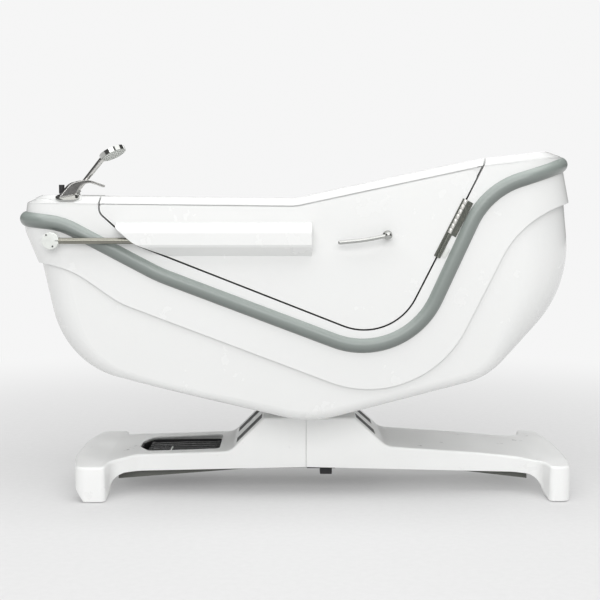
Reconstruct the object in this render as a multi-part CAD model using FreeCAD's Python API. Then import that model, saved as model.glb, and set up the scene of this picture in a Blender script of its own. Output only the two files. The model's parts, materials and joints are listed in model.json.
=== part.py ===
import FreeCAD, Part
import os
from math import atan, cos, degrees, radians, sin, tan

V = FreeCAD.Vector

# A high-low bath tub with a hinged side door, standing on a lifting column and a
# bone-shaped base.  Millimetres.  X runs along the tub from the foot end (taps) to the
# head end (backrest), -Y is the door side, Z is up from the floor.

# ---------------------------------------------------------------- driving dimensions
UPPER_HALF = 395.0          # half width of the upper casing
LOWER_HALF = 385.0          # half width of the lower casing
SKIN = 5.0                  # thickness of the moulded skins
LAP = 14.0                  # how far the lower casing reaches up inside the upper one
FOOT_CORNER = 100.0         # plan radius of the casing at the foot end
HEAD_CORNER = 200.0         # plan radius of the casing at the head end
BELLY_EDGE = 38.0           # rounding where the sides turn under the tub

RIM_DROP = 24.0             # the rim slopes outwards by this much ...
RIM_SLOPE = 52.0            # ... over this width
RIM_TILT = degrees(atan(RIM_DROP / RIM_SLOPE))
BASIN_HALF = 325.0          # half width of the bathing space
BASIN_SKIN = 6.0

BUMPER_RADIUS = 28.0        # half-round bumper rail
BUMPER_SINK = 10.0          # how far its centre line lies inside the casing

DOOR_GAP = 3.0              # clearance between the door's edge line and each side of it
DOOR_INNER = -339.0         # inner face of the door slab
DOOR_STEP = 14.0            # how much smaller the door's inner step is, all round
FLANGE_STEP = 11.0          # how much smaller the opening in the basin wall is

HINGE_MIDDLE = V(553.3, -400.2, 1012.5)     # on the pin, in line with the door's edge
HINGE_LEAN = 26.65          # degrees that the hinge leans towards the head end
KNUCKLES = 12
KNUCKLE_LENGTH = 19.0
KNUCKLE_RADIUS = 5.0
PIN_RADIUS = 2.5
PIN_PLAY = 0.05

ROD_Y = -427.0              # the locking rod passes in front of the bumper
ROD_Z = 970.0
ROD_RADIUS = 11.0
ROD_LEFT = -868.0
ROD_RIGHT = -330.0
ROD_TRAVEL = 42.0
LEVER_X = 325.0
LEVER_Z = 989.0

BASE_HALF = 335.0           # half depth of the base over its feet
BEAM_HALF = 195.0           # half depth of the beam between the feet
ARCH_HALF = 222.0           # half width of the open arch between the feet
ARCH_TOP = 66.0
BASE_SEAM = 38.0            # where the two base covers meet
COVER_SKIN = 5.0
STRIP_WIDTH = 90.0          # dark strips on the pedestal's slopes

COLUMN_X = 52.0             # centre of the lifting column

DRAIN_X = -575.0
DRAIN_Z = 560.0             # underside of the drain's flange
OVERFLOW_X = -762.9         # face of the foot-end wall at the overflow
OVERFLOW_Z = 1010.0
DECK_LID = 3.0              # thickness of the lid on the foot-end deck
TAP_X = -816.0
SHOWER_X = -812.0
SHOWER_Y = -295.0
SHOWER_RISE = 50.8          # degrees above level
HEAD_RADIUS = 48.0          # shower head
SLEEVE_LEFT = -640.0
SLEEVE_RIGHT = 55.0
BUSH_PLACES = (-550.0, -390.0)
PINION_RADIUS = 38.5
HOSE_RADIUS = 9.0
COLUMN_STEP = 5.0           # how much smaller each column stage is on every side

# moves the model so that its origin is on the floor under the middle of its box
ORIGIN_SHIFT = V(-18.0, 19.5, 0)

# ---------------------------------------------------------------- side outlines (x, z, radius)
LOWER_OUTLINE = [(-999, 1230, 0), (-847, 521, 320), (48, 301, 400), (696, 470, 300),
                 (1028, 788, 400), (980, 1230, 0)]
UPPER_OUTLINE = [(-968, 1140, 0), (-987, 1012, 90), (-930, 870, 60), (-857, 512, 320),
                 (48, 291, 400), (701, 460, 300), (1040, 785, 300), (1012, 1102, 40),
                 (972, 1290, 0)]
WAVE = [(-1100, 888, 0), (-833, 888, 330), (-632, 746, 250), (451, 333, 388),
        (809, 1055, 345), (1100, 1128, 0)]
RIM_BOTTOM = [(-1100, 1103, 0), (-2, 1092, 150), (655, 1232, 300), (1100, 1281, 0)]
RIM_OUTLINE = RIM_BOTTOM + [(1100, 1312, 0), (655, 1260, 300), (-2, 1119, 150),
                            (-1100, 1130.5, 0)]
RIM_PLAN = [(-972, -396, 100), (976, -396, 200), (976, 396, 200), (-972, 396, 100)]
SCREW_PLACES = ((UPPER_OUTLINE, -1, 922, 270), (LOWER_OUTLINE, -1, 678, 270),
                (LOWER_OUTLINE, 1, 975, 175), (LOWER_OUTLINE, 1, 652, 175))
BUMPER_LINE = [(-835, 1031, 250), (-492, 849, 500), (389, 514, 288), (676, 1146, 283)]
BUMPER_FOOT_END = (-973, 1046)
BUMPER_HEAD_END = (976, 1243)
DOOR_LINE = [(-701, 1400, 0), (-701, 1068, 40), (-577, 957, 150), (343, 594, 205),
             (748, 1400, 0)]
PANEL_LINE = [(-701, 1101, 12), (-701, 1068, 40), (-577, 957, 150), (343, 594, 205),
              (664, 1233, 24), (-2, 1092, 150)]
COVER_PROFILE = [(-784, 4, 0), (-818, 50, 90), (-856, 112, 0), (-856, 133, 0),
                 (-722, 133, 60), (-610, 151, 160), (-252, 162, 60), (-122, 291, 14),
                 (222, 291, 14), (345, 180, 60), (700, 155, 400), (905, 133, 200),
                 (1046, 133, 0), (1046, 112, 0), (1015, 50, 90), (1012, 4, 0), (938, 4, 0),
                 (910, 68, 60), (880, 80, 30), (38, 101, 0), (-650, 87, 30),
                 (-690, 72, 50), (-706, 4, 0)]
PEDESTAL_FOOT_STRIP = [(-216, 185, 0), (-134, 267, 0), (-128, 297, 0), (-240, 185, 0)]
PEDESTAL_HEAD_STRIP = [(286, 217, 0), (226, 271, 0), (236, 297, 0), (318, 217, 0)]
CAVITY = [(-778, 1400, 0), (-748, 555, 140), (95, 575, 90), (185, 643, 80),
          (455, 643, 170), (775, 1130, 320), (905, 1330, 0), (945, 1400, 0)]


# ---------------------------------------------------------------- shared shapes
def box(x0, x1, y0, y1, z0, z1):
    return Part.makeBox(x1 - x0, y1 - y0, z1 - z0, V(x0, y0, z0))


def rod(start, end, radius):
    return Part.makeCylinder(radius, (end - start).Length, start, end - start)


def fuse(shapes):
    return shapes[0].multiFuse(shapes[1:]).removeSplitter()


def rounded_path(points, radii, closed):
    """Lines joined by tangent arcs, one arc of the given radius at each point."""
    count = len(points)
    starts = list(points)
    ends = list(points)
    arcs = [None] * count
    for i in range(count):
        if radii[i] <= 0:
            continue
        into = (points[i] - points[i - 1]).normalize()
        out = (points[(i + 1) % count] - points[i]).normalize()
        half_turn = into.getAngle(out) / 2
        starts[i] = points[i] - into * (radii[i] * tan(half_turn))
        ends[i] = points[i] + out * (radii[i] * tan(half_turn))
        inward = (out - into).normalize() * (radii[i] / cos(half_turn) - radii[i])
        arcs[i] = Part.Arc(starts[i], points[i] + inward, ends[i]).toShape()
    edges = []
    for i in range(count):
        if arcs[i]:
            edges.append(arcs[i])
        if closed or i + 1 < count:
            edges.append(Part.LineSegment(ends[i], starts[(i + 1) % count]).toShape())
    return Part.Wire(edges)


def side_wire(corners):
    points = [V(x, 0, z) for x, z, _ in corners]
    return rounded_path(points, [r for _, _, r in corners], True)


def side_prism(corners, y0, y1, grow=0.0):
    """Extrude a side outline along Y, after growing it by a constant distance."""
    wire = side_wire(corners)
    if grow:
        wire = wire.makeOffset2D(grow, 2)
    face = Part.Face(wire)
    face.translate(V(0, y0, 0))
    return face.extrude(V(0, y1 - y0, 0))


def plan_prism(corners, z0, z1, grow=0.0):
    """Extrude a plan outline of (x, y, radius) corners along Z."""
    points = [V(x, y, 0) for x, y, _ in corners]
    wire = rounded_path(points, [r for _, _, r in corners], True)
    if grow:
        wire = wire.makeOffset2D(grow, 2)
    face = Part.Face(wire)
    face.translate(V(0, 0, z0))
    return face.extrude(V(0, 0, z1 - z0))


def rounded_box(x0, x1, y0, y1, z0, z1, radius):
    corners = [(x0, y0, radius), (x1, y0, radius), (x1, y1, radius), (x0, y1, radius)]
    return plan_prism(corners, z0, z1)


def above(line, lift=0.0):
    corners = [(x, z + lift, r) for x, z, r in line] + [(1100, 1500, 0), (-1100, 1500, 0)]
    return side_prism(corners, -450, 450)


def below(line, lift=0.0):
    corners = [(x, z + lift, r) for x, z, r in line] + [(1100, 0, 0), (-1100, 0, 0)]
    return side_prism(corners, -450, 450)


def mirrored(shape):
    return shape.mirror(V(0, 0, 0), V(0, 1, 0))


def round_edges(shape, sized_edges):
    """Round edges with radii that may change along each edge: (edge number, start, end)."""
    document = FreeCAD.newDocument()
    source = document.addObject("Part::Feature", "source")
    source.Shape = shape
    result = document.addObject("Part::Fillet", "result")
    result.Base = source
    result.Edges = sized_edges
    document.recompute()
    rounded = result.Shape.copy()
    FreeCAD.closeDocument(document.Name)
    return rounded


def tub_form(outline, half, grow, edge_radius, open_above):
    """A closed tub form: the side outline extruded to +-half with its long edges rounded."""
    form = side_prism(outline, -half, half, grow)
    sized = []
    for number, edge in enumerate(form.Edges, 1):
        first = edge.valueAt(edge.FirstParameter)
        last = edge.valueAt(edge.LastParameter)
        if abs(first.y - last.y) > 1 or min(first.z, last.z) > open_above:
            continue
        sized.append((number, edge_radius(first), edge_radius(last)))
    return round_edges(form, sized)


def upward_tilt(face, point):
    u, v = face.Surface.parameter(point)
    return face.normalAt(u, v).z


def shoulder_edges(shape, lowest=-1e9):
    """Numbers of the edges where an upright wall meets a top surface."""
    numbers = []
    for number, edge in enumerate(shape.Edges, 1):
        middle = edge.valueAt((edge.FirstParameter + edge.LastParameter) / 2)
        faces = shape.ancestorsOfType(edge, Part.Face)
        tilts = sorted(upward_tilt(face, middle) for face in faces)
        if middle.z > lowest and abs(tilts[0]) < 0.3 and tilts[-1] > 0.6:
            numbers.append(number)
    return numbers


def slope_shoulders(shape, drop, width):
    """Cut a slope that falls by drop over width along every shoulder edge."""
    document = FreeCAD.newDocument()
    source = document.addObject("Part::Feature", "source")
    source.Shape = shape
    result = document.addObject("Part::Chamfer", "result")
    result.Base = source
    result.Edges = [(number, drop, width) for number in shoulder_edges(shape)]
    document.recompute()
    sloped = result.Shape.copy()
    FreeCAD.closeDocument(document.Name)
    return sloped


def casing_radius(point):
    """Small rounding under the belly, growing into the plan corners at both ends."""
    if point.x < 0:
        share = min(max((-point.x - 640) / 220, 0), 1)
        return BELLY_EDGE + (FOOT_CORNER - BELLY_EDGE) * share
    share = min(max((point.x - 700) / 300, 0), 1)
    return BELLY_EDGE + (HEAD_CORNER - BELLY_EDGE) * share


def inner_casing_radius(point):
    return casing_radius(point) - SKIN


def basin_radius(point):
    share = min(max((point.x - 400) / 400, 0), 1)
    return 60 + 50 * share


def outer_basin_radius(point):
    return basin_radius(point) + BASIN_SKIN


# ---------------------------------------------------------------- tub casings
def upper_form(grow=0.0):
    radius = casing_radius if grow == 0 else inner_casing_radius
    return tub_form(UPPER_OUTLINE, UPPER_HALF + grow, grow, radius, 1105)


def lower_form(grow=0.0):
    radius = casing_radius if grow == 0 else inner_casing_radius
    return tub_form(LOWER_OUTLINE, LOWER_HALF + grow, grow, radius, 1200)


def door_hole(grow, y0, y1):
    return side_prism(DOOR_LINE, y0, y1, grow)


def lower_casing():
    skin = lower_form().cut(lower_form(-SKIN)).common(below(WAVE, LAP))
    column_hole = rounded_box(COLUMN_X - 110, COLUMN_X + 110, -80, 80, 280, 400, 12)
    return skin.cut(column_hole)


def upper_casing():
    outer = upper_form()
    skin = outer.cut(upper_form(-SKIN)).common(above(WAVE))
    ledge = outer.cut(lower_form()).common(above(WAVE)).common(below(WAVE, SKIN))
    casing = skin.fuse(ledge).common(below(RIM_BOTTOM))
    return casing.cut(door_hole(DOOR_GAP, -420, -300))


def bumper_rail():
    """Half-round rail that goes once round the tub and dips under the door."""
    inset = UPPER_HALF - BUMPER_SINK
    head_x, head_z = BUMPER_HEAD_END
    foot_x, foot_z = BUMPER_FOOT_END
    points = [V(foot_x, 0, foot_z), V(foot_x, -inset, foot_z)]
    points += [V(x, -inset, z) for x, z, _ in BUMPER_LINE]
    points += [V(head_x, -inset, head_z), V(head_x, 0, head_z)]
    bends = [0, FOOT_CORNER - BUMPER_SINK] + [r for _, _, r in BUMPER_LINE]
    bends += [HEAD_CORNER - BUMPER_SINK, 0]
    tub = upper_form().fuse(rim_block())
    lengths = []
    for edge in rounded_path(points, bends, False).Edges:
        start = edge.valueAt(edge.FirstParameter)
        heading = edge.tangentAt(edge.FirstParameter)
        section = ring_wire(start, heading, BUMPER_RADIUS)
        length = Part.Wire([edge]).makePipeShell([section], True, False).cut(tub)
        lengths.append(length)
        lengths.append(mirrored(length))
    return fuse(lengths)


# ---------------------------------------------------------------- basin and rim
def rim_block():
    """The rim before the bathing space is taken out: a ring that slopes outwards."""
    block = side_prism(RIM_OUTLINE, -450, 450).common(plan_prism(RIM_PLAN, 1000, 1400))
    return slope_shoulders(block, RIM_DROP, RIM_SLOPE)


def opening_in_tub():
    """What the door leaves open: the jamb outside and a smaller hole in the basin wall."""
    outer = door_hole(DOOR_GAP, -450, -BASIN_HALF - BASIN_SKIN)
    inner = door_hole(-FLANGE_STEP, -450, -BASIN_HALF + 60)
    return outer.fuse(inner)


def basin():
    cavity = tub_form(CAVITY, BASIN_HALF, 0, basin_radius, 1390)
    outer = tub_form(CAVITY, BASIN_HALF + BASIN_SKIN, BASIN_SKIN, outer_basin_radius, 1390)
    outer = outer.common(below(RIM_BOTTOM, 5))
    shell = outer.fuse(rim_block()).cut(cavity).cut(opening_in_tub())
    drain_hole = rod(V(DRAIN_X, 0, 500), V(DRAIN_X, 0, 600), 22)
    overflow_hole = rod(V(-800, 0, OVERFLOW_Z), V(-740, 0, OVERFLOW_Z), 16)
    tap_hole = rod(V(-820, -350, 1080), V(-820, -350, 1140), 17)
    return shell.cut(drain_hole).cut(overflow_hole).cut(tap_hole)


def door_jamb():
    """Frame round the door opening, between the casing and the basin wall."""
    y0 = -UPPER_HALF + SKIN
    y1 = -BASIN_HALF - BASIN_SKIN
    outer = door_hole(DOOR_GAP + SKIN, y0, y1)
    return outer.cut(door_hole(DOOR_GAP, y0 - 1, y1 + 1)).common(below(RIM_BOTTOM))


def door_gasket():
    """Rubber lip on the basin wall that the closed door presses against."""
    y0 = DOOR_INNER + 0.4
    y1 = -BASIN_HALF - BASIN_SKIN
    ring = door_hole(-2, y0, y1).cut(door_hole(-FLANGE_STEP + 1, y0 - 1, y1 + 1))
    return ring.common(below(RIM_BOTTOM, 6))


def deck_cover():
    """Thin service lid on the foot-end deck; the taps stand on its door-side corner."""
    block = rim_block()
    raised = block.copy()
    raised.translate(V(0, 0, DECK_LID))
    plan = [(-938, -344, 15), (-850, -388, 20), (-766, -388, 15), (-768, -334, 10),
            (-792, -322, 10), (-792, 340, 15), (-938, 340, 15)]
    lid = raised.cut(block).common(plan_prism(plan, 1080, 1160))
    return lid.cut(rod(V(-820, -350, 1080), V(-820, -350, 1160), 17))


def end_at(outline, end, z):
    """X of a side outline at this height, at the foot end (-1) or the head end (1)."""
    level = Part.LineSegment(V(0, 0, z), V(1200 * end, 0, z)).toShape()
    return side_wire(outline).distToShape(level)[1][0][0].x


def casing_screws():
    """Screw heads on the ends of the casings, square to the surface under them."""
    heads = []
    for outline, end, z, y in SCREW_PLACES:
        lean = end_at(outline, end, z + 1) - end_at(outline, end, z - 1)
        outward = V(2 * end, 0, -lean * end).normalize()
        for side in (-1, 1):
            seat = V(end_at(outline, end, z), y * side, z) + outward * 0.15
            heads.append(rod(seat, seat + outward * 4, 8))
    return Part.makeCompound(heads)


# ---------------------------------------------------------------- tub underframe and drain
def tub_frame():
    """Welded frame that carries the basin and stands on the lifting column."""
    pieces = []
    for y in (-170, 130):
        pieces.append(box(-640, 600, y, y + 40, 508, 546))
    for x in (-640, -120, 184, 560):
        pieces.append(box(x, x + 40, -130, 130, 508, 546))
    for x in (-60, 124):
        pieces.append(box(x, x + 40, -150, -110, 352, 508))
        pieces.append(box(x, x + 40, 110, 150, 352, 508))
        pieces.append(box(x, x + 40, -110, 110, 352, 380))
    pieces.append(box(-60, 164, -150, -110, 352, 380))
    pieces.append(box(-60, 164, 110, 150, 352, 380))
    for x in (-120, 184):
        pieces.append(box(x, x + 40, -170, 170, 480, 508))
    for y in (-150, 110):
        pieces.append(box(-120, 224, y, y + 40, 480, 508))
    return fuse(pieces)


def drain_body():
    """Cup and flange of the drain, with the trap below the basin floor."""
    floor_z = DRAIN_Z
    flange = rod(V(DRAIN_X, 0, floor_z), V(DRAIN_X, 0, floor_z + 3), 33)
    cup = rod(V(DRAIN_X, 0, floor_z - 48), V(DRAIN_X, 0, floor_z), 21.5)
    bore = rod(V(DRAIN_X, 0, floor_z - 42), V(DRAIN_X, 0, floor_z + 5), 18)
    outlet = rod(V(DRAIN_X, 0, floor_z - 34), V(DRAIN_X + 60, 0, floor_z - 34), 12)
    outlet_bore = rod(V(DRAIN_X, 0, floor_z - 34), V(DRAIN_X + 62, 0, floor_z - 34), 9)
    return fuse([flange, cup, outlet]).cut(bore).cut(outlet_bore)


def drain_plug():
    """Pop-up plug on its stem."""
    seat = DRAIN_Z + 3.3
    disc = rod(V(DRAIN_X, 0, seat), V(DRAIN_X, 0, seat + 6), 24)
    stem = rod(V(DRAIN_X, 0, seat - 26), V(DRAIN_X, 0, seat), 4)
    return disc.fuse(stem)


def overflow_body():
    wall_x = OVERFLOW_X
    flange = rod(V(wall_x, 0, OVERFLOW_Z), V(wall_x + 8, 0, OVERFLOW_Z), 34)
    pipe = rod(V(wall_x - 40, 0, OVERFLOW_Z), V(wall_x, 0, OVERFLOW_Z), 15.5)
    bore = rod(V(wall_x - 36, 0, OVERFLOW_Z), V(wall_x + 9, 0, OVERFLOW_Z), 12)
    return flange.fuse(pipe).cut(bore)


def overflow_knob():
    """Rotary cap that works the pop-up plug."""
    wall_x = OVERFLOW_X + 8.3
    cap = rod(V(wall_x, 0, OVERFLOW_Z), V(wall_x + 14, 0, OVERFLOW_Z), 33)
    spindle = rod(V(wall_x - 30, 0, OVERFLOW_Z), V(wall_x, 0, OVERFLOW_Z), 5)
    grips = []
    for step in range(6):
        angle = radians(60 * step)
        y = 36 * cos(angle)
        z = OVERFLOW_Z + 36 * sin(angle)
        grips.append(rod(V(wall_x - 1, y, z), V(wall_x + 15, y, z), 8))
    return fuse([cap, spindle]).cut(Part.makeCompound(grips))


def waste_pipe():
    """Pipe from the trap to above the lifting column."""
    z = DRAIN_Z - 34
    start = V(DRAIN_X + 60.2, 0, z)
    corner = V(-180, 0, z)
    end = V(-180, 0, 400)
    path = rounded_path([start, corner, end], [0, 50, 0], False)
    outer = path.makePipeShell([ring_wire(start, V(1, 0, 0), 14)], True, False)
    inner = path.makePipeShell([ring_wire(start, V(1, 0, 0), 11)], True, False)
    return outer.cut(inner)


def ring_wire(centre, normal, radius):
    return Part.Wire(Part.makeCircle(radius, centre, normal))


# ---------------------------------------------------------------- door
def door_zone():
    """The space of the whole door, with the step that enters the basin wall."""
    slab = door_hole(-DOOR_GAP, -460, DOOR_INNER)
    step = door_hole(-DOOR_GAP - DOOR_STEP, DOOR_INNER - 1, -BASIN_HALF)
    return slab.fuse(step)


def panel_prism(grow, y0, y1):
    return side_prism(PANEL_LINE, y0, y1, grow)


def sleeve_solid():
    """Moulded sleeve on the door's face that houses the locking rod."""
    section = [(-394, 1034), (-434, 1015), (-446, 1006), (-447, 998), (-447, 956),
               (-441, 947), (-394, 914)]
    points = [V(SLEEVE_LEFT, y, z) for y, z in section]
    wire = Part.makePolygon(points + points[:1])
    solid = Part.Face(wire).extrude(V(SLEEVE_RIGHT - SLEEVE_LEFT, 0, 0))
    return solid.common(panel_prism(-DOOR_GAP, -460, -380))


def door_outer_panel():
    skin = panel_prism(-DOOR_GAP, -UPPER_HALF, -UPPER_HALF + SKIN + 1)
    panel = skin.fuse(sleeve_solid())
    bore_end = ROD_RIGHT + ROD_TRAVEL + 4
    panel = panel.cut(rod(V(-700, ROD_Y, ROD_Z), V(bore_end, ROD_Y, ROD_Z), ROD_RADIUS + 0.6))
    for x in BUSH_PLACES:
        seat = rod(V(x - 10, ROD_Y, ROD_Z), V(x + 10, ROD_Y, ROD_Z), ROD_RADIUS + 3)
        panel = panel.cut(seat)
    slot = box(ROD_RIGHT - 24, bore_end, ROD_Y, -380, ROD_Z - 14, ROD_Z + 14)
    panel = panel.cut(slot)
    return panel.cut(rod(V(LEVER_X, -410, LEVER_Z), V(LEVER_X, -380, LEVER_Z), 8.05))


def door_core():
    """Stiffening frame glued between the two skins of the door."""
    y0 = -UPPER_HALF + SKIN + 1
    ring = side_prism(DOOR_LINE, y0, DOOR_INNER - 6, -DOOR_GAP - 1).common(below(RIM_BOTTOM))
    ring = ring.cut(panel_prism(-DOOR_GAP - 34, y0 - 1, DOOR_INNER - 5))
    rib = box(180, 212, y0, DOOR_INNER - 6, 600, 925)
    rib = rib.common(panel_prism(-DOOR_GAP - 30, -460, -300))
    return ring.fuse(rib)


def door_inner_panel():
    slab = panel_prism(-DOOR_GAP, DOOR_INNER - 6, DOOR_INNER)
    step = side_prism(DOOR_LINE, DOOR_INNER, -BASIN_HALF, -DOOR_GAP - DOOR_STEP)
    hollow = side_prism(DOOR_LINE, DOOR_INNER - 7, -BASIN_HALF - 4, -DOOR_GAP - DOOR_STEP - 5)
    hollow = hollow.common(below(RIM_BOTTOM, -8))
    panel = slab.fuse(step.common(below(RIM_BOTTOM))).cut(hollow)
    return panel


def door_rim():
    """The length of sloping rim that swings with the door."""
    inner_limit = box(-1000, 1000, -460, -BASIN_HALF, 1000, 1400)
    cap = rim_block().common(door_zone()).common(inner_limit)
    return cap.common(above(RIM_BOTTOM, 1.5))


def rod_bushes():
    bushes = []
    for x in BUSH_PLACES:
        bush = rod(V(x - 10, ROD_Y, ROD_Z), V(x + 10, ROD_Y, ROD_Z), ROD_RADIUS + 3)
        bore = rod(V(x - 11, ROD_Y, ROD_Z), V(x + 11, ROD_Y, ROD_Z), ROD_RADIUS + 0.05)
        bushes.append(bush.cut(bore))
    return Part.makeCompound(bushes)


def locking_rod():
    return rod(V(ROD_LEFT + 17, ROD_Y, ROD_Z), V(ROD_RIGHT, ROD_Y, ROD_Z), ROD_RADIUS)


def catch_disc():
    """Round nylon catch on the free end of the locking rod."""
    disc = rod(V(ROD_LEFT, ROD_Y - 11, ROD_Z), V(ROD_LEFT, ROD_Y + 9.5, ROD_Z), 30.5)
    disc = disc.makeFillet(3, disc.Edges)
    return disc.cut(locking_rod())


def catch_screws():
    heads = []
    for dx, dz in ((-13, 21), (9, -19)):
        start = V(ROD_LEFT + dx, ROD_Y - 11, ROD_Z + dz)
        heads.append(rod(start, start + V(0, -1.5, 0), 3))
    return Part.makeCompound(heads)


def rod_buffer():
    """Rubber stop on the casing behind the catch."""
    return rod(V(ROD_LEFT, -UPPER_HALF, ROD_Z), V(ROD_LEFT, ROD_Y + 10.5, ROD_Z), 15)


def lock_rack():
    """Bar inside the door that joins the rod to the lever's pinion."""
    z1 = LEVER_Z - PINION_RADIUS - 1.5
    bar = box(ROD_RIGHT - 20, LEVER_X + 20, -381, -369, z1 - 12, z1)
    neck = box(ROD_RIGHT - 20, ROD_RIGHT + 4, ROD_Y, -369, ROD_Z - 9, ROD_Z + 9)
    riser = box(ROD_RIGHT - 20, ROD_RIGHT + 4, -381, -369, z1 - 12, ROD_Z + 9)
    return fuse([bar, neck, riser]).cut(locking_rod())


def lock_pinion():
    """Drum on the lever's spindle that moves the rack."""
    drum = rod(V(LEVER_X, -382, LEVER_Z), V(LEVER_X, -368, LEVER_Z), PINION_RADIUS)
    return drum.cut(rod(V(LEVER_X, -383, LEVER_Z), V(LEVER_X, -367, LEVER_Z), 8))


def lever_rosette():
    disc = rod(V(LEVER_X, -UPPER_HALF - 5, LEVER_Z), V(LEVER_X, -UPPER_HALF, LEVER_Z), 17)
    return disc.cut(rod(V(LEVER_X, -410, LEVER_Z), V(LEVER_X, -380, LEVER_Z), 8.05))


def lever_handle():
    """Chrome lever: spindle, round hub and a slightly bowed grip."""
    spindle = rod(V(LEVER_X, -438, LEVER_Z), V(LEVER_X, -366, LEVER_Z), 8)
    hub = Part.makeSphere(14, V(LEVER_X, -438, LEVER_Z))
    path = rounded_path([V(LEVER_X, -438, LEVER_Z), V(238, -440, 972), V(154, -434, 964)],
                        [0, 400, 0], False)
    start = path.Edges[0].valueAt(path.Edges[0].FirstParameter)
    heading = path.Edges[0].tangentAt(path.Edges[0].FirstParameter)
    grip = path.makePipeShell([ring_wire(start, heading, 7.2)], True, False)
    tip = Part.makeSphere(7.2, V(154, -434, 964))
    return fuse([spindle, hub, grip, tip])


# ---------------------------------------------------------------- door hinge
def on_hinge(shape):
    """Place a shape drawn with the hinge pin on Z and the tub side towards +X."""
    shape.Placement = FreeCAD.Placement(HINGE_MIDDLE, FreeCAD.Rotation(V(0, 1, 0), HINGE_LEAN))
    return shape


def knuckle_row(first):
    half = KNUCKLES * KNUCKLE_LENGTH / 2
    row = []
    for i in range(first, KNUCKLES, 2):
        z0 = -half + i * KNUCKLE_LENGTH + 0.2
        row.append(rod(V(0, 0, z0), V(0, 0, z0 + KNUCKLE_LENGTH - 0.4), KNUCKLE_RADIUS))
    return row


def leaf(first, plates):
    """One leaf: its knuckles, its plates and the bore for the pin."""
    half = KNUCKLES * KNUCKLE_LENGTH / 2
    other = Part.makeCompound(knuckle_row(1 - first))
    swept = [rod(V(0, 0, s.BoundBox.ZMin - 0.2), V(0, 0, s.BoundBox.ZMax + 0.2),
                 KNUCKLE_RADIUS + 0.3) for s in other.Solids]
    plate = fuse(plates).cut(Part.makeCompound(swept))
    bore = rod(V(0, 0, -half - 1), V(0, 0, half + 1), PIN_RADIUS + PIN_PLAY)
    return on_hinge(fuse([plate] + knuckle_row(first)).cut(bore))


def hinge_tub_leaf():
    wide = box(0, 28, 3.0, 5.2, -21, 114)
    narrow = box(0, 12, 3.0, 5.2, -114, -20)
    return leaf(0, [wide, narrow])


def hinge_door_leaf():
    return leaf(1, [box(-12, 0, 3.0, 5.2, -114, 114)])


def hinge_pin():
    half = KNUCKLES * KNUCKLE_LENGTH / 2
    return on_hinge(rod(V(0, 0, -half), V(0, 0, half), PIN_RADIUS))


def hinge_screws():
    heads = []
    for s in (98, 45, -5):
        heads.append(rod(V(20, 1.8, s), V(20, 3.0, s), 4))
    return on_hinge(Part.makeCompound(heads))


def hinge_end_clip():
    """Small grey clip beside the lower end of the hinge."""
    return on_hinge(rounded_box(14, 28, 0.7, 5.2, -102, -68, 1.5))


# ---------------------------------------------------------------- taps and hand shower
def on_slope(shape, x):
    """Set a shape drawn on the plane Z = 0 down on the sloping deck at this X."""
    shape.Placement = FreeCAD.Placement(V(x, -370, 1116.2 + DECK_LID * 1.1),
                                        FreeCAD.Rotation(V(1, 0, 0), RIM_TILT))
    return shape


def plate_form():
    return on_slope(rounded_box(-42, 42, -25, 25, 0, 6, 24.5), TAP_X)


def mixer_plate():
    button_hole = on_slope(rod(V(31, 8, -1), V(31, 8, 7), 5.05), TAP_X)
    return plate_form().cut(button_hole)


def mixer_spout():
    """Wide arched spout, turned inwards so that it pours into the basin."""
    outline = [(0, -6, 0), (50, 52, 50), (108, 66, 70), (174, 44, 0), (172, 37, 0),
               (118, 56, 60), (84, 42, 30), (58, -6, 0)]
    arch = side_prism(outline, -17, 17)
    turn = FreeCAD.Rotation(V(0, 0, 1), 24)
    arch.Placement = FreeCAD.Placement(V(TAP_X - 40, -368, 1122), turn)
    lid_top = rim_block()
    lid_top.translate(V(0, 0, DECK_LID))
    return arch.cut(plate_form()).cut(lid_top)


def mixer_knob():
    """Temperature knob on its stem."""
    stem = rod(V(-846, -318, 1131.2), V(-846, -318, 1142), 7)
    knob = rod(V(-846, -318, 1136), V(-846, -318, 1168), 10)
    return stem.fuse(knob)


def diverter_button():
    """Push button of the diverter, standing on the tap plate."""
    return on_slope(rod(V(31, 8, 3.5), V(31, 8, 13), 5), TAP_X)


def valve_body():
    """Mixing valve below the deck."""
    z = 1092
    body = box(-862, -790, -384, -322, z - 70, z - 12)
    neck = rod(V(-820, -350, z - 12), V(-820, -350, z + 12), 16)
    return body.fuse(neck)


def shower_axis():
    return V(cos(radians(SHOWER_RISE)), 0, sin(radians(SHOWER_RISE)))


def shower_holder():
    """Socket in the deck that the hand shower stands in."""
    foot = V(SHOWER_X, SHOWER_Y, 1126)
    collar = rod(foot, foot + shower_axis() * 34, 13)
    base = rod(V(SHOWER_X + 8, SHOWER_Y, 1131), V(SHOWER_X + 8, SHOWER_Y, 1137), 20)
    socket = Part.makeCone(7.9, 9.0, 60, foot + shower_axis() * 10, shower_axis())
    body = base.fuse(collar).cut(socket)
    return body.common(box(-900, -600, -400, 0, 1131, 1200))


def shower_handle():
    foot = V(SHOWER_X, SHOWER_Y, 1126) + shower_axis() * 13
    return Part.makeCone(7.5, 10, 167, foot, shower_axis())


def head_disc(start, end, radius):
    """A disc of the shower head between two distances along its facing direction."""
    facing = V(0.43, -0.17, -0.89).normalize()
    centre = V(SHOWER_X, SHOWER_Y, 1126) + shower_axis() * 180 + V(34, 0, 17)
    return rod(centre + facing * start, centre + facing * end, radius)


def shower_head():
    return head_disc(-9, 8, HEAD_RADIUS).cut(shower_handle())


def shower_face():
    """Pale spray plate on the underside of the shower head."""
    return head_disc(8, 10, HEAD_RADIUS - 4).cut(shower_handle())


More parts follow.
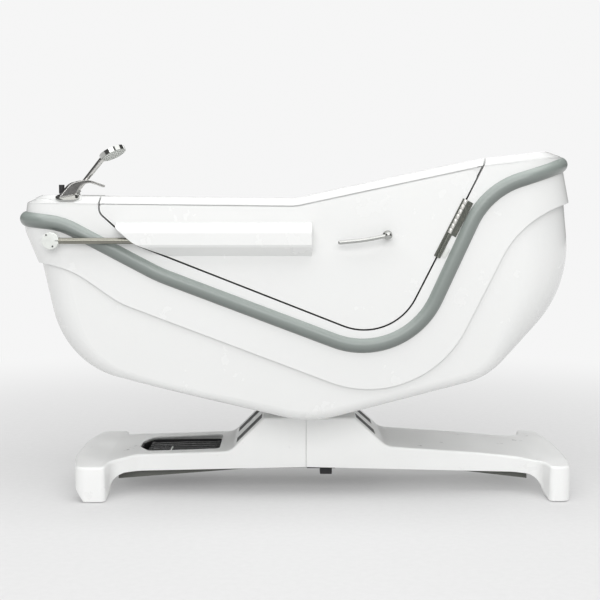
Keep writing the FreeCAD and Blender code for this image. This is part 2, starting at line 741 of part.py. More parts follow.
# ---------------------------------------------------------------- base
def base_plan(grow, z0, z1):
    half = BASE_HALF
    corners = [(-600, -BEAM_HALF, 90), (-694, -245, 60), (-708, -half, 22), (-813, -half, 45),
               (-849, -140, 500), (-849, 140, 500), (-813, half, 45), (-708, half, 22),
               (-694, 245, 60), (-600, BEAM_HALF, 90),
               (830, BEAM_HALF, 90), (926, 245, 60), (940, half, 22), (1014, half, 40),
               (1037, 140, 500), (1037, -140, 500), (1014, -half, 40), (940, -half, 22),
               (926, -245, 60), (830, -BEAM_HALF, 90)]
    return plan_prism(corners, z0, z1, grow)


def cover_form():
    """Outside of both base covers together, with the pedestal in the middle."""
    form = side_prism(COVER_PROFILE, -400, 400).common(base_plan(0, 0, 400))
    form = form.cut(feet_arch(0))
    numbers = [(number, 9, 9) for number in shoulder_edges(form, 110)]
    return round_edges(form, numbers)


def feet_arch(grow):
    """The open space between the feet at each end, seen along X."""
    half = ARCH_HALF + grow
    return rounded_box(-900, 1100, -half, half, -40, ARCH_TOP + grow, 10)


def cover_hollow():
    """The inside of the covers, open at the bottom but closed towards the arches."""
    hollow = side_prism(COVER_PROFILE, -400, 400, -COVER_SKIN)
    hollow = hollow.common(base_plan(-COVER_SKIN, 0, 400))
    lowered = hollow.copy()
    lowered.translate(V(0, 0, -12))
    return hollow.fuse(lowered).cut(feet_arch(COVER_SKIN))


def base_covers():
    """The two moulded covers, which meet at a seam under the tub."""
    shell = cover_form().cut(cover_hollow())
    shell = shell.cut(hose_slot(130, 220))
    mouth = rounded_box(COLUMN_X - 126, COLUMN_X + 126, -96, 96, 200, 320, 12)
    shell = shell.cut(mouth)
    shell = shell.cut(strip_solids())
    foot = shell.common(box(-1000, BASE_SEAM - 0.5, -400, 400, -10, 400))
    head = shell.common(box(BASE_SEAM + 0.5, 1200, -400, 400, -10, 400))
    return foot, head


def hose_slot(z0, z1):
    corners = [(-608, -60, 40), (-565, -138, 30), (-294, -138, 24), (-294, 134, 24),
               (-575, 120, 40), (-608, 30, 30)]
    return plan_prism(corners, z0, z1)


def strip_solids():
    """Space of the dark strips let into the pedestal's sloping faces."""
    strips = []
    for y in (-146, 146 - STRIP_WIDTH):
        for outline in (PEDESTAL_FOOT_STRIP, PEDESTAL_HEAD_STRIP):
            strips.append(side_prism(outline, y, y + STRIP_WIDTH))
    return Part.makeCompound(strips)


def pedestal_strips():
    return strip_solids().common(cover_form())


def hose_tray():
    """Dark pan under the slot, in which the hoses lie."""
    pan = hose_slot(112, 142)
    lining = hose_slot(115, 143)
    lining.scale(0.97, V(-450, 0, 130))
    return pan.cut(lining)


def hose_routes():
    """Six hoses side by side: straight out of their couplings, then up to the gland."""
    routes = []
    for i, y in enumerate((-100, -66, -32, 20, 60, 96)):
        sway = 4 if i % 2 else -4
        routes.append([V(-564, y * 0.8, 128), V(-500, y * 0.86 + sway, 128),
                       V(-420, y, 129), V(-350, y - sway, 129), V(-316, y, 128)])
    return routes


def supply_hoses():
    tubes = []
    for points in hose_routes():
        radii = [0, 260, 260, 200, 0]
        path = rounded_path(points, radii, False)
        heading = (points[1] - points[0]).normalize()
        section = ring_wire(points[0], heading, HOSE_RADIUS)
        tubes.append(path.makePipeShell([section], True, False))
    return Part.makeCompound(tubes)


def hose_fittings():
    """Couplings at both ends of the hoses."""
    fittings = []
    for points in hose_routes():
        for end, before in ((points[0], points[1]), (points[-1], points[-2])):
            away = (end - before).normalize()
            fittings.append(rod(end, end + away * 12, HOSE_RADIUS + 3))
    return Part.makeCompound(fittings)


def cable_tie():
    """White tie round the three hoses next to the door side."""
    band = rounded_box(-2.5, 2.5, -54, 54, -12.5, 12.5, 1)
    inner = rounded_box(-3, 3, -52.5, 52.5, -11, 11, 0.5)
    band = band.cut(inner)
    band.translate(V(-487, -60, 128))
    return band


def base_frame():
    """Steel frame inside the covers."""
    web = [(-745, 74, 0), (-679, 74, 0), (-679, 52, 0), (-180, 90, 30), (420, 98, 30),
           (640, 79, 0), (884, 50, 0), (884, 74, 0), (962, 74, 0), (962, 118, 0),
           (-745, 118, 0)]
    pieces = [side_prism(web, -166, -160), side_prism(web, 160, 166)]
    for x in (-785, 952):
        pieces.append(box(x, x + 45, -305, 305, 78, 118))
    pieces.append(box(-110, 215, -160, 160, 100, 104))
    for x in (-250, 300):
        pieces.append(box(x, x + 40, -160, 160, 100, 110))
    return fuse(pieces)


def foot_pads():
    """Levelling feet: a screwed stem and a rubber pad."""
    feet = []
    for x in (-762, 974):
        for y in (-282, 282):
            pad = Part.makeCone(30, 24, 16, V(x, y, 0), V(0, 0, 1))
            stem = rod(V(x, y, 16), V(x, y, 78), 8)
            feet.append(pad.fuse(stem))
    return Part.makeCompound(feet)


# ---------------------------------------------------------------- lifting column
def column_tube(inset, z0, z1):
    half_x = 118 - inset
    half_y = 88 - inset
    outer = rounded_box(COLUMN_X - half_x, COLUMN_X + half_x, -half_y, half_y, z0, z1, 10)
    bore = rounded_box(COLUMN_X - half_x + 4, COLUMN_X + half_x - 4, -half_y + 4, half_y - 4,
                       z0 - 1, z1 + 1, 6)
    return outer.cut(bore)


def column_stage(number):
    """Stage 0 is fixed to the base; each following one runs inside the one before."""
    return column_tube(number * COLUMN_STEP, 104 + 2 * number, 286)


def column_head():
    """Innermost stage, reaching through the casing to the tub's underframe."""
    tube = column_tube(3 * COLUMN_STEP, 110, 346)
    plate = rounded_box(COLUMN_X - 110, COLUMN_X + 110, -105, 105, 346, 352, 8)
    return tube.fuse(plate)


def lift_motor():
    """Motor of the column, lying in the head-end beam."""
    can = rod(V(196, 0, 136), V(330, 0, 136), 24)
    gearbox = box(176, 216, -32, 32, 104, 160)
    return can.fuse(gearbox)


def control_box():
    """Black control unit hanging under the seam of the covers."""
    flange = box(42, 150, -150, -70, 86, 98)
    body = rounded_box(92, 138, -150, -76, 63, 86, 6)
    return flange.fuse(body)


# ---------------------------------------------------------------- the assembly
NODES = {
    "lower_casing": lower_casing,
    "upper_casing": upper_casing,
    "bumper_rail": bumper_rail,
    "basin": basin,
    "door_jamb": door_jamb,
    "door_gasket": door_gasket,
    "deck_cover": deck_cover,
    "casing_screws": casing_screws,
    "tub_frame": tub_frame,
    "drain_body": drain_body,
    "drain_plug": drain_plug,
    "overflow_body": overflow_body,
    "overflow_knob": overflow_knob,
    "waste_pipe": waste_pipe,
    "door_outer_panel": door_outer_panel,
    "door_core": door_core,
    "door_inner_panel": door_inner_panel,
    "door_rim": door_rim,
    "rod_bushes": rod_bushes,
    "locking_rod": locking_rod,
    "catch_disc": catch_disc,
    "catch_screws": catch_screws,
    "rod_buffer": rod_buffer,
    "lock_rack": lock_rack,
    "lock_pinion": lock_pinion,
    "lever_rosette": lever_rosette,
    "lever_handle": lever_handle,
    "hinge_tub_leaf": hinge_tub_leaf,
    "hinge_door_leaf": hinge_door_leaf,
    "hinge_pin": hinge_pin,
    "hinge_screws": hinge_screws,
    "hinge_end_clip": hinge_end_clip,
    "mixer_plate": mixer_plate,
    "mixer_spout": mixer_spout,
    "mixer_knob": mixer_knob,
    "diverter_button": diverter_button,
    "valve_body": valve_body,
    "shower_holder": shower_holder,
    "shower_handle": shower_handle,
    "shower_head": shower_head,
    "shower_face": shower_face,
    "base_cover_foot": lambda: base_covers()[0],
    "base_cover_head": lambda: base_covers()[1],
    "pedestal_strips": pedestal_strips,
    "hose_tray": hose_tray,
    "supply_hoses": supply_hoses,
    "hose_fittings": hose_fittings,
    "cable_tie": cable_tie,
    "base_frame": base_frame,
    "foot_pads": foot_pads,
    "column_outer": lambda: column_stage(0),
    "column_middle_1": lambda: column_stage(1),
    "column_middle_2": lambda: column_stage(2),
    "column_head": column_head,
    "lift_motor": lift_motor,
    "control_box": control_box,
}

os.makedirs("parts", exist_ok=True)
for name, make in NODES.items():
    shape = make()
    shape.translate(ORIGIN_SHIFT)
    shape.exportStep("parts/" + name + ".step")
    print(name, len(shape.Solids), "solids", shape.isValid(), round(shape.Volume))
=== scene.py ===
import json
import math

import bpy
from mathutils import Matrix, Vector


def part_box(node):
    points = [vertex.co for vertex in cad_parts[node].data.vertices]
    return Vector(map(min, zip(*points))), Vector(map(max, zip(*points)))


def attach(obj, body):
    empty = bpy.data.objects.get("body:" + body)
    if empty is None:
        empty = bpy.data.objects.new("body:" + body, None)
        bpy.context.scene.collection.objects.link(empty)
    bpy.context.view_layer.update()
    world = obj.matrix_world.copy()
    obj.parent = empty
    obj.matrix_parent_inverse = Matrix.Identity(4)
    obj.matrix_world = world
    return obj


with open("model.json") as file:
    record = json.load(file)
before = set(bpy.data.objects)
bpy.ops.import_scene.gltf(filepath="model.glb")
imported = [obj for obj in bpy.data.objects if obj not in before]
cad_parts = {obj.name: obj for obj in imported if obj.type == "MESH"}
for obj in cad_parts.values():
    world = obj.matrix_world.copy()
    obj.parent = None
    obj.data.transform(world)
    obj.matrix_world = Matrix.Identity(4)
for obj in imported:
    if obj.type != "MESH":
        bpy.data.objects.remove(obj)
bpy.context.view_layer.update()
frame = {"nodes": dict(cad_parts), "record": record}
NODES = frame["nodes"]
SCENE = bpy.context.scene

# sizes in metres, angles in radians
SURROUND = 0.92              # brightness of the studio round the floor
DIFFUSE_LIGHT = 0.46         # what matt surfaces receive from the surroundings
GLOSSY_LIGHT = 0.12          # what glossy surfaces reflect of them
NEAR_FLOOR = (0.51, 0.53)    # darkest and lightest tone of the floor paper
NEAR_GLOW = 0.22             # the floor's own light under the tub
FLOOR_FADE = (1.3, 4.0)      # distance over which the floor becomes the surroundings
FLOOR_RINGS = [0.0, 0.6, 1.2, 2.0, 3.0, 4.5, 7.0, 12.0, 40.0]
FLOOR_STEPS = 64
CAMERA_LENS = 69.85          # millimetres
CAMERA_PLACE = (-0.0386, -4.526, 1.1348)
CAMERA_DOWN = 0.0908
CAMERA_TURN = -0.00815
WHITE = (0.775, 0.78, 0.772)
WEAR_FROM, WEAR_TO = 0.6, 0.74       # part of the noise that counts as a rubbed spot
PALE_SLOPE = (-0.08, 0, 1)           # the seal turns pale above a line that rises to the head
PALE_FADE = 0.02
KNUCKLES = 12
FIRST_PAINTED_LIT_KNUCKLE = 5                    # painted light: the knuckles from this one up get bright sleeves, the ones below stay dark as painted shade
KNUCKLE_PITCH = 0.019
SLEEVE_GAP = 0.0006
SCREW_TURN = 0.6                     # how far the hinge screws' crosses are turned
CROSS_ARM = 0.16                     # half width of a cross's arm, as a share of its length
CROSS_TAPER = 0.8
SLACK = 1e-5                         # rounding allowed when a face is matched to a screw
WIPER_WIDTH = 0.005
WIPER_CORNER = 0.010
WIPER_POINTS = 32
NOZZLE_RINGS = ((1, 0.0), (6, 0.010), (12, 0.020), (18, 0.030), (24, 0.0385))


# ---------------------------------------------------------------- materials
class Graph:
    """A node tree with short calls for adding and joining nodes."""

    def __init__(self, name):
        self.material = bpy.data.materials.new(name)
        self.material.use_nodes = True
        self.tree = self.material.node_tree
        self.shader = self.tree.nodes["Principled BSDF"]
        self.place = self.add("ShaderNodeTexCoord").outputs["Object"]

    def add(self, kind, inputs=None, **settings):
        node = self.tree.nodes.new(kind)
        for key, value in settings.items():
            setattr(node, key, value)
        for key, value in (inputs or {}).items():
            self.set(node.inputs[key], value)
        return node

    def set(self, socket, value):
        if isinstance(value, bpy.types.NodeSocket):
            self.tree.links.new(value, socket)
        else:
            socket.default_value = value

    def stretched(self, stretch):
        if stretch == (1, 1, 1):
            return self.place
        return self.add("ShaderNodeMapping", {"Vector": self.place, "Scale": stretch}).outputs[0]

    def noise(self, scale, detail=3.0, roughness=0.55, stretch=(1, 1, 1)):
        inputs = {"Vector": self.stretched(stretch), "Scale": scale, "Detail": detail,
                  "Roughness": roughness}
        return self.add("ShaderNodeTexNoise", inputs).outputs["Fac"]

    def ranged(self, value, low, high, start=0.3, end=0.7):
        inputs = {"Value": value, "From Min": start, "From Max": end, "To Min": low,
                  "To Max": high}
        return self.add("ShaderNodeMapRange", inputs).outputs["Result"]

    def mixed(self, factor, first, second):
        node = self.add("ShaderNodeMix", data_type="RGBA")
        self.set(node.inputs["Factor"], factor)
        self.set(node.inputs["A"], first)
        self.set(node.inputs["B"], second)
        return node.outputs["Result"]

    def bumped(self, height, depth, strength, normal=None):
        inputs = {"Height": height, "Distance": depth, "Strength": strength}
        if normal is not None:
            inputs["Normal"] = normal
        return self.add("ShaderNodeBump", inputs).outputs["Normal"]


def shade(colour, share):
    return tuple(min(1.0, c * share) for c in colour[:3]) + (1.0,)


def finish_of(name, colour, rough, metallic=0.0, coat=0.0, spread=0.05, blotch=3.0,
              grain=(240.0, 0.00012, 0.25), stretch=(1, 1, 1), rough_spread=0.08,
              wear=0.0, wear_share=0.7, edge=0.0, coat_rough=0.06, level=0.5, painted_shade_and_light=0.0,
              pale_above=None):
    """A surface with slow colour change, fine grain, uneven gloss, rubbed spots and soft edges.

    painted_shade_and_light darkens what faces down as painted shade and lightens what faces up as
    painted light, and pale_above gives the height from which it is white.
    """
    g = Graph(name)
    slow = g.noise(blotch, 4.0)
    fine = g.noise(grain[0], 2.0, stretch=stretch)
    base = g.mixed(g.ranged(slow, 0.0, 1.0), shade(colour, 1 - spread), shade(colour, 1 + spread))
    base = g.mixed(g.ranged(fine, 0.0, 0.35), base, shade(colour, 1 - 1.6 * spread))
    if wear:
        rubbed = g.noise(blotch * 9, 8.0, 0.7)
        spots = g.ranged(rubbed, 0.0, wear, WEAR_FROM, WEAR_TO)
        base = g.mixed(spots, base, shade(colour, wear_share))
    # painted shade and light: the base colour is darkened where the surface faces down and
    # lightened where it faces up, as if lit from above
    if painted_shade_and_light:
        way = g.add("ShaderNodeNewGeometry").outputs["Normal"]
        up = g.add("ShaderNodeSeparateXYZ", {0: way}).outputs["Z"]
        share = g.ranged(up, 1 - painted_shade_and_light, 1 + 0.5 * painted_shade_and_light, -0.8, 0.8)
        painted_shading = g.add("ShaderNodeMix", data_type="RGBA", blend_type="MULTIPLY")
        for key, value in (("Factor", 1.0), ("A", base), ("B", share)):
            g.set(painted_shading.inputs[key], value)
        base = painted_shading.outputs["Result"]
    if pale_above:
        height = g.add("ShaderNodeVectorMath", {0: g.place, 1: PALE_SLOPE},
                       operation="DOT_PRODUCT").outputs["Value"]
        pale = g.ranged(height, 0.0, 1.0, pale_above, pale_above + PALE_FADE)
        base = g.mixed(pale, base, shade(WHITE, 1.0))
    g.set(g.shader.inputs["Base Color"], base)
    streaks = g.noise(blotch * 4, 5.0, 0.6, stretch)
    g.set(g.shader.inputs["Roughness"],
          g.ranged(streaks, max(rough - rough_spread, 0.02), rough + rough_spread))
    normal = None
    if edge:
        normal = g.add("ShaderNodeBevel", {"Radius": edge}, samples=4).outputs["Normal"]
    normal = g.bumped(fine, grain[1], grain[2], normal)
    g.set(g.shader.inputs["Normal"], normal)
    g.shader.inputs["Metallic"].default_value = metallic
    g.shader.inputs["Coat Weight"].default_value = coat
    g.shader.inputs["Coat Roughness"].default_value = coat_rough
    g.shader.inputs["Specular IOR Level"].default_value = level
    return g.material


MATERIALS = {
    "gelcoat_white": finish_of("gelcoat_white", WHITE, 0.26, coat=0.3, spread=0.010, blotch=2.2,
                               grain=(60.0, 0.0002, 0.08), rough_spread=0.02, wear=0.06,
                               wear_share=0.99, edge=0.0016),
    "cover_white": finish_of("cover_white", (0.91, 0.915, 0.905), 0.34, coat=0.15, spread=0.015,
                             grain=(220.0, 0.0002, 0.15), wear=0.2, wear_share=0.975,
                             edge=0.002),
    # the bumper's underside is darkened as painted shade and its top lightened as painted light
    "bumper_grey": finish_of("bumper_grey", (0.23, 0.262, 0.245), 0.42, coat=0.6, spread=0.04,
                             coat_rough=0.28, grain=(420.0, 0.00015, 0.3), wear=0.5,
                             wear_share=1.12, level=0.7, painted_shade_and_light=0.45),
    "brushed_steel": finish_of("brushed_steel", (0.27, 0.265, 0.23), 0.2, metallic=1.0,
                               spread=0.08, grain=(30.0, 0.0001, 0.35), stretch=(1, 30, 30),
                               rough_spread=0.08, edge=0.0004),
    "dark_steel": finish_of("dark_steel", (0.20, 0.21, 0.185), 0.24, metallic=1.0, spread=0.06,
                            blotch=12.0, grain=(9.0, 0.00002, 0.2), stretch=(6, 6, 1),
                            edge=0.0003),
    "chrome": finish_of("chrome", (0.46, 0.465, 0.45), 0.08, metallic=1.0, spread=0.03,
                        grain=(90.0, 0.00004, 0.1), rough_spread=0.05, edge=0.0006),
    "soft_chrome": finish_of("soft_chrome", (0.66, 0.65, 0.63), 0.12, metallic=1.0,
                             spread=0.03, grain=(90.0, 0.00004, 0.1), rough_spread=0.05,
                             edge=0.005),
    "sleeve_steel": finish_of("sleeve_steel", (0.74, 0.73, 0.70), 0.34, metallic=0.6,
                              spread=0.05, grain=(500.0, 0.00004, 0.3), edge=0.0004),
    "black_plastic": finish_of("black_plastic", (0.022, 0.022, 0.023), 0.42, spread=0.2,
                               grain=(600.0, 0.0002, 0.4), wear=0.5, wear_share=1.9,
                               edge=0.0008),
    "black_hose": finish_of("black_hose", (0.014, 0.014, 0.015), 0.28, spread=0.2,
                            grain=(300.0, 0.0002, 0.35), wear=0.4, wear_share=2.0),
    "rubber_black": finish_of("rubber_black", (0.03, 0.03, 0.03), 0.6, spread=0.15,
                              grain=(500.0, 0.0003, 0.5), wear=0.6, wear_share=1.8),
    "seal_rubber": finish_of("seal_rubber", (0.045, 0.046, 0.034), 0.55, spread=0.12,
                             grain=(420.0, 0.0003, 0.45), wear=0.5, wear_share=1.5,
                             pale_above=1.08),
    "nylon_white": finish_of("nylon_white", (0.70, 0.72, 0.69), 0.34, spread=0.10, blotch=40.0,
                             grain=(160.0, 0.0003, 0.35), wear=0.8, wear_share=0.7, edge=0.001),
    "brass": finish_of("brass", (0.62, 0.45, 0.2), 0.32, metallic=1.0, spread=0.1,
                       grain=(180.0, 0.0002, 0.3), wear=0.4),
    "frame_steel": finish_of("frame_steel", (0.13, 0.135, 0.12), 0.48, spread=0.08,
                             grain=(380.0, 0.0003, 0.4), wear=0.5, wear_share=0.6,
                             edge=0.001),
    "column_aluminium": finish_of("column_aluminium", (0.55, 0.55, 0.56), 0.34, metallic=1.0,
                                  spread=0.05, grain=(40.0, 0.0001, 0.3), stretch=(20, 20, 1)),
}
OWN_FINISH = {"door_jamb": "seal_rubber", "mixer_spout": "soft_chrome",
              "shower_handle": "soft_chrome"}

for part in frame["record"]["subparts"]:
    node = NODES[part["node"]]
    slot = OWN_FINISH.get(part["node"], part["material_slot"])
    node.data.materials.clear()
    node.data.materials.append(MATERIALS[slot])


# ---------------------------------------------------------------- small fittings
def middle(node):
    low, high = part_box(node)
    return (Vector(low) + Vector(high)) / 2


def facing(axis):
    """Rotation that turns the Z axis to this direction."""
    return Vector(axis).to_track_quat("Z", "Y").to_matrix().to_4x4()


def add_piece(name, mesh, place, material, body, smooth=True):
    for face in mesh.polygons:
        face.use_smooth = smooth
    mesh.materials.append(MATERIALS[material])
    piece = bpy.data.objects.new(name, mesh)
    SCENE.collection.objects.link(piece)
    mesh.transform(place)
    mesh.update()
    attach(piece, body)


def turned(profile, places, steps=32):
    """Rings of one (radius, height) profile, turned about Z and repeated at each place."""
    mesh = bpy.data.meshes.new("turned")
    points = []
    faces = []
    count = len(profile)
    for place in places:
        start = len(points)
        for step in range(steps):
            angle = 2 * math.pi * step / steps
            for radius, height in profile:
                spot = Vector((radius * math.cos(angle), radius * math.sin(angle), height))
                points.append(place @ spot)
        for step in range(steps):
            for i in range(count - 1):
                a = start + step * count + i
                b = start + (step + 1) % steps * count + i
                faces.append((a, b, b + 1, a + 1))
    mesh.from_pydata(points, [], faces)
    return mesh


def painted_light_hinge_sleeves():
    """Painted light: bright sleeves on the upper knuckles only, alternately on the tub's leaf and
    the door's; the lower knuckles stay dark as painted shade.
    """
    joint = next(j for j in frame["record"]["behaviour"]["joints"] if j["name"] == "door_hinge")
    place = Matrix.Translation(middle("hinge_pin")) @ facing(joint["axis"])
    half = KNUCKLE_PITCH / 2 - SLEEVE_GAP
    profile = [(0.0051, -half), (0.0062, -half), (0.0066, -half + SLEEVE_GAP),
               (0.0066, half - SLEEVE_GAP), (0.0062, half), (0.0051, half)]
    centre = (KNUCKLES - 1) / 2
    for body, first in (("tub", FIRST_PAINTED_LIT_KNUCKLE + 1), ("door", FIRST_PAINTED_LIT_KNUCKLE)):
        heights = [(i - centre) * KNUCKLE_PITCH for i in range(first, KNUCKLES, 2)]
        mesh = turned(profile, [Matrix.Translation((0, 0, h)) for h in heights])
        add_piece("painted_light_hinge_sleeves_" + body, mesh, place, "sleeve_steel", body)


def painted_shade_crosses(size, depth, places, name, body):
    """Painted shade: flat black crosses on the screw heads stand for the shade in their cross
    recesses.
    """
    arm = size * CROSS_ARM
    outline = [(-size, -arm), (-arm, -arm), (-arm, -size), (arm, -size), (arm, -arm),
               (size, -arm), (size, arm), (arm, arm), (arm, size), (-arm, size),
               (-arm, arm), (-size, arm)]
    mesh = bpy.data.meshes.new(name)
    points = []
    faces = []
    for place in places:
        start = len(points)
        points += [place @ Vector((x * CROSS_TAPER, y * CROSS_TAPER, -depth)) for x, y in outline]
        points += [place @ Vector((x, y, depth)) for x, y in outline]
        count = len(outline)
        faces.append(tuple(start + count + i for i in range(count)))
        faces += [(start + i, start + (i + 1) % count, start + count + (i + 1) % count,
                   start + count + i) for i in range(count)]
    mesh.from_pydata(points, [], faces)
    # the crosses take the black rubber finish as painted shade for the hollow of each recess
    add_piece(name, mesh, Matrix.Identity(4), "rubber_black", body, smooth=False)


def islands(node):
    """Bounds of each separate solid of a node."""
    mesh = NODES[node].data
    parent = list(range(len(mesh.vertices)))

    def root(i):
        while parent[i] != i:
            parent[i] = parent[parent[i]]
            i = parent[i]
        return i

    spots = {}
    for i, vertex in enumerate(mesh.vertices):
        key = tuple(round(c, 5) for c in vertex.co)
        parent[root(i)] = root(spots.setdefault(key, i))
    for edge in mesh.edges:
        parent[root(edge.vertices[0])] = root(edge.vertices[1])
    groups = {}
    for i, vertex in enumerate(mesh.vertices):
        groups.setdefault(root(i), []).append(vertex.co)
    result = []
    for group in groups.values():
        low = Vector([min(c[k] for c in group) for k in range(3)])
        high = Vector([max(c[k] for c in group) for k in range(3)])
        result.append((low, high))
    return result


def flat_head(node, low, high):
    """Middle and direction of the outer flat of one screw head in these bounds."""
    out = 1 if low.x + high.x > 0 else -1
    flats = {}
    for face in NODES[node].data.polygons:
        centre = face.center
        inside = all(low[k] - SLACK <= centre[k] <= high[k] + SLACK for k in range(3))
        if inside and face.normal.x * out > 0:
            key = tuple(round(c, 2) for c in face.normal)
            area, weighted = flats.get(key, (0.0, Vector((0.0, 0.0, 0.0))))
            flats[key] = (area + face.area, weighted + centre * face.area)
    direction, (area, weighted) = max(flats.items(), key=lambda item: item[1][0])
    return weighted / area, Vector(direction).normalized()


def door_side_crosses(node, size, turn, name, body):
    """Painted shade: black crosses on the heads of the screws of one node that face the door
    side.
    """
    places = []
    for low, high in islands(node):
        spot = (low + high) / 2
        spot.y = low.y
        places.append(Matrix.Translation(spot) @ facing((0, -1, 0))
                      @ Matrix.Rotation(turn, 4, "Z"))
    painted_shade_crosses(size, 0.0002, places, name, body)


def screw_faces():
    # the black crosses on the hinge, catch and casing screw heads are painted shade for their
    # recesses
    door_side_crosses("hinge_screws", 0.0022, SCREW_TURN, "hinge_screw_painted_shade", "tub")
    door_side_crosses("catch_screws", 0.0018, 0.0, "catch_screw_painted_shade", "lock_bar")
    places = []
    for low, high in islands("casing_screws"):
        spot, outward = flat_head("casing_screws", low, high)
        places.append(Matrix.Translation(spot) @ facing(outward))
    painted_shade_crosses(0.0045, 0.0003, places, "casing_screw_painted_shade", "tub")


def face_normal(node):
    """Direction of the largest flat area of a node that looks down."""
    total = {}
    for face in NODES[node].data.polygons:
        if face.normal.z < -0.2:
            key = tuple(round(c, 2) for c in face.normal)
            total[key] = total.get(key, 0) + face.area
    return Vector(max(total, key=total.get)).normalized()


def shower_nozzles():
    """Rings of soft nozzles on the spray plate."""
    normal = face_normal("shower_face")
    places = []
    for count, radius in NOZZLE_RINGS:
        for i in range(count):
            angle = 2 * math.pi * i / count
            places.append(Matrix.Translation((radius * math.cos(angle),
                                              radius * math.sin(angle), 0)))
    mesh = turned([(0.0, 0.0016), (0.0008, 0.0015), (0.0016, 0.0004), (0.0019, -0.0004)],
                  places, 10)
    place = Matrix.Translation(middle("shower_face") + normal * 0.001) @ facing(normal)
    add_piece("shower_nozzles", mesh, place, "frame_steel", "hand_shower")


def column_wipers():
    """Scraper rings round the mouths of the column's stages."""
    for node, body in (("column_outer", "base"), ("column_middle_1", "column_stage_1"),
                       ("column_middle_2", "column_stage_2")):
        low, high = (Vector(c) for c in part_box(node))
        centre = (low + high) / 2
        half = (high - low) / 2
        loops = [(0.0, 0.0), (0.0, 0.0020), (0.0012, 0.0030), (WIPER_WIDTH - 0.0012, 0.0030),
                 (WIPER_WIDTH - 0.0003, 0.0012), (WIPER_WIDTH - 0.0003, 0.0)]
        per_corner = WIPER_POINTS // 4
        points = []
        for inset, rise in loops:
            radius = WIPER_CORNER - min(inset, 0.004)
            for corner, (sx, sy) in enumerate(((1, 1), (-1, 1), (-1, -1), (1, -1))):
                for k in range(per_corner):
                    angle = math.pi / 2 * (corner + k / (per_corner - 1))
                    x = centre.x + sx * (half.x - inset - radius) + radius * math.cos(angle)
                    y = centre.y + sy * (half.y - inset - radius) + radius * math.sin(angle)
                    points.append((x, y, high.z + rise))
        faces = []
        for ring in range(len(loops) - 1):
            for k in range(WIPER_POINTS):
                a = ring * WIPER_POINTS + k
                b = ring * WIPER_POINTS + (k + 1) % WIPER_POINTS
                faces.append((a, b, b + WIPER_POINTS, a + WIPER_POINTS))
        mesh = bpy.data.meshes.new("wiper")
        mesh.from_pydata(points, [], faces)
        add_piece("wiper_" + node, mesh, Matrix.Identity(4), "rubber_black", body)


def plug_dome():
    """Domed cap on the pop-up plug."""
    low, high = (Vector(c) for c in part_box("drain_plug"))
    top = Vector(((low.x + high.x) / 2, (low.y + high.y) / 2, high.z))
    dome = [(0.0, 0.0022), (0.008, 0.0020), (0.015, 0.0013), (0.021, 0.0002), (0.0225, -0.0004)]
    add_piece("plug_dome", turned(dome, [Matrix.Translation(top)], 48), Matrix.Identity(4),
              "chrome", "plug")


painted_light_hinge_sleeves()
screw_faces()
shower_nozzles()
column_wipers()
plug_dome()


# ---------------------------------------------------------------- floor, light and camera
def grey(tone):
    return (tone, tone, tone, 1)


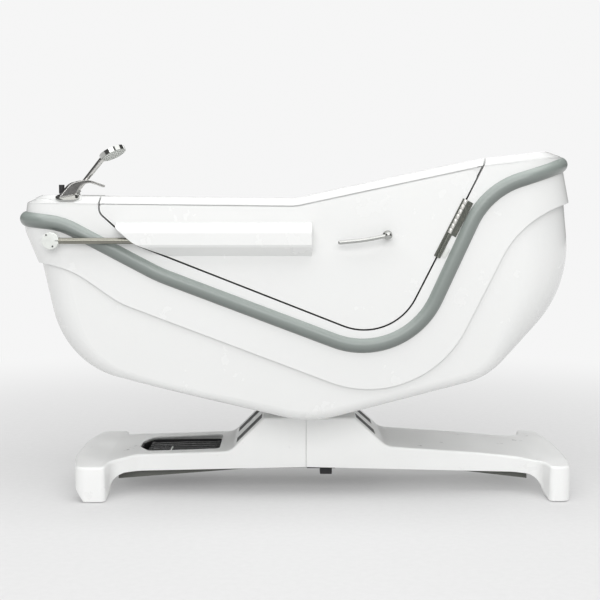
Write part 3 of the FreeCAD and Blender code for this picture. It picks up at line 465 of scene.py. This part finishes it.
def studio():
    """A wide pale floor whose far part has the brightness of the surroundings."""
    points = [(0, 0, 0)]
    for radius in FLOOR_RINGS[1:]:
        for step in range(FLOOR_STEPS):
            angle = 2 * math.pi * step / FLOOR_STEPS
            points.append((radius * math.cos(angle), radius * math.sin(angle), 0))
    faces = [(0, 1 + k, 1 + (k + 1) % FLOOR_STEPS) for k in range(FLOOR_STEPS)]
    for ring in range(len(FLOOR_RINGS) - 2):
        for k in range(FLOOR_STEPS):
            a = 1 + ring * FLOOR_STEPS + k
            b = 1 + ring * FLOOR_STEPS + (k + 1) % FLOOR_STEPS
            faces.append((a, a + FLOOR_STEPS, b + FLOOR_STEPS, b))
    ground = bpy.data.meshes.new("floor")
    ground.from_pydata(points, [], faces)
    floor = bpy.data.objects.new("floor", ground)
    SCENE.collection.objects.link(floor)
    g = Graph("floor_paper")
    distance = g.add("ShaderNodeVectorMath", {0: g.place}, operation="LENGTH").outputs["Value"]
    fade = {"Value": distance, "From Min": FLOOR_FADE[0], "From Max": FLOOR_FADE[1]}
    far = g.add("ShaderNodeMapRange", fade, interpolation_type="SMOOTHSTEP").outputs["Result"]
    speckle = g.noise(40.0, 3.0)
    near = g.mixed(g.ranged(speckle, 0.0, 1.0), grey(NEAR_FLOOR[0]), grey(NEAR_FLOOR[1]))
    g.set(g.shader.inputs["Base Color"], g.mixed(far, near, grey(0)))
    g.shader.inputs["Roughness"].default_value = 0.8
    g.shader.inputs["Specular IOR Level"].default_value = 0.0
    g.shader.inputs["Emission Color"].default_value = grey(1)
    g.set(g.shader.inputs["Emission Strength"], g.ranged(far, NEAR_GLOW, SURROUND, 0.0, 1.0))
    ground.materials.append(g.material)


def lamp(name, place, aim, width, height, power):
    data = bpy.data.lights.new(name, "AREA")
    data.shape = "RECTANGLE"
    data.size = width
    data.size_y = height
    data.energy = power
    lamp_object = bpy.data.objects.new(name, data)
    SCENE.collection.objects.link(lamp_object)
    lamp_object.location = place
    direction = Vector(aim) - Vector(place)
    lamp_object.rotation_euler = direction.to_track_quat("-Z", "Y").to_euler()


def lights():
    lamp("overhead", (0.0, -1.0, 4.0), (0, 0.0, 0.6), 5.6, 3.2, 112)
    lamp("front", (0.0, -6.0, 3.6), (0, 0, 0.7), 6.4, 3.0, 185)
    lamp("back", (0.0, 4.6, 3.6), (0, 0, 0.8), 5.0, 2.0, 70)
    world = bpy.data.worlds.new("studio")
    world.use_nodes = True
    tree = world.node_tree
    background = tree.nodes["Background"]
    background.inputs["Color"].default_value = (1, 1, 1, 1)
    path = tree.nodes.new("ShaderNodeLightPath")
    dimmed = tree.nodes.new("ShaderNodeMapRange")
    dimmed.inputs["To Min"].default_value = DIFFUSE_LIGHT
    dimmed.inputs["To Max"].default_value = GLOSSY_LIGHT
    tree.links.new(path.outputs["Is Glossy Ray"], dimmed.inputs["Value"])
    seen = tree.nodes.new("ShaderNodeMapRange")
    tree.links.new(path.outputs["Is Camera Ray"], seen.inputs["Value"])
    tree.links.new(dimmed.outputs["Result"], seen.inputs["To Min"])
    seen.inputs["To Max"].default_value = SURROUND
    tree.links.new(seen.outputs["Result"], background.inputs["Strength"])
    SCENE.world = world


def camera():
    data = bpy.data.cameras.new("camera")
    data.sensor_width = 36.0
    data.lens = CAMERA_LENS
    data.clip_end = 60.0
    view = bpy.data.objects.new("camera", data)
    SCENE.collection.objects.link(view)
    view.location = CAMERA_PLACE
    view.rotation_euler = (math.pi / 2 - CAMERA_DOWN, 0.0, CAMERA_TURN)
    SCENE.camera = view


studio()
lights()
camera()
SCENE.view_settings.view_transform = "Standard"
